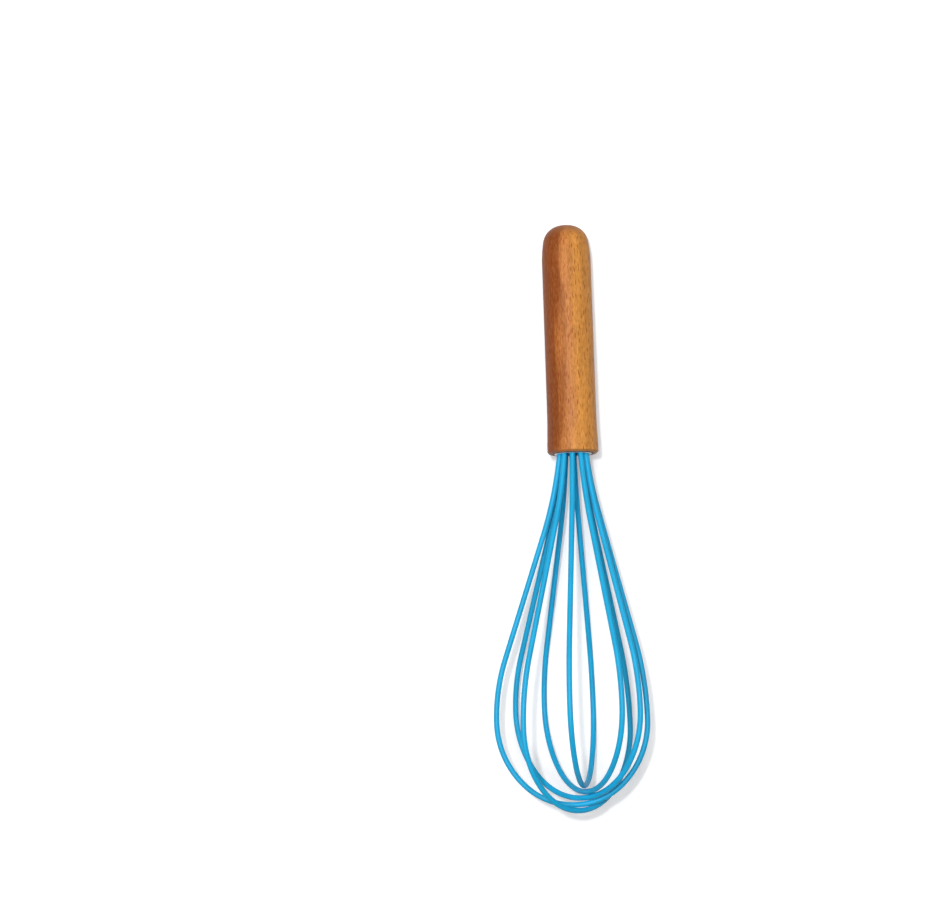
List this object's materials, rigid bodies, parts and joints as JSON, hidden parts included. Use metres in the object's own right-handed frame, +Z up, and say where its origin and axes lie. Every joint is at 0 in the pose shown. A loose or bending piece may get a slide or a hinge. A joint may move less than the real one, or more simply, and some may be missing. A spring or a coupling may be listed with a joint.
{
  "type": "balloon whisk",
  "caption": "Balloon whisk: a turned wooden handle with a steel ferrule holds nested loops of steel wire in coloured silicone covers.",
  "frame": {"origin": "on the table under the middle of the whisk's bounding box, as it lies on its butt and its two lowest loops", "axes": "+Y from the head towards the butt of the handle, along the table; +Z up; +X to the right seen from the head's end"},
  "size_m": [0.0678, 0.2585, 0.063],
  "materials": {
    "beech": "oiled, fine grain with short dark flecks",
    "steel": "satin stainless steel",
    "resin": "cast resin",
    "silicone": "satin silicone, bright blue"
  },
  "bodies": {
    "root": {"handle": "beech", "ferrule": "steel", "wire_holder": "steel", "resin_plug": "resin", "loop_1_cover": "silicone", "loop_2_cover": "silicone", "loop_3_cover": "silicone", "loop_4_cover": "silicone", "loop_5_cover": "silicone", "loop_1_wire": "steel", "loop_2_wire": "steel", "loop_3_wire": "steel", "loop_4_wire": "steel", "loop_5_wire": "steel"}
  },
  "joints": []
}
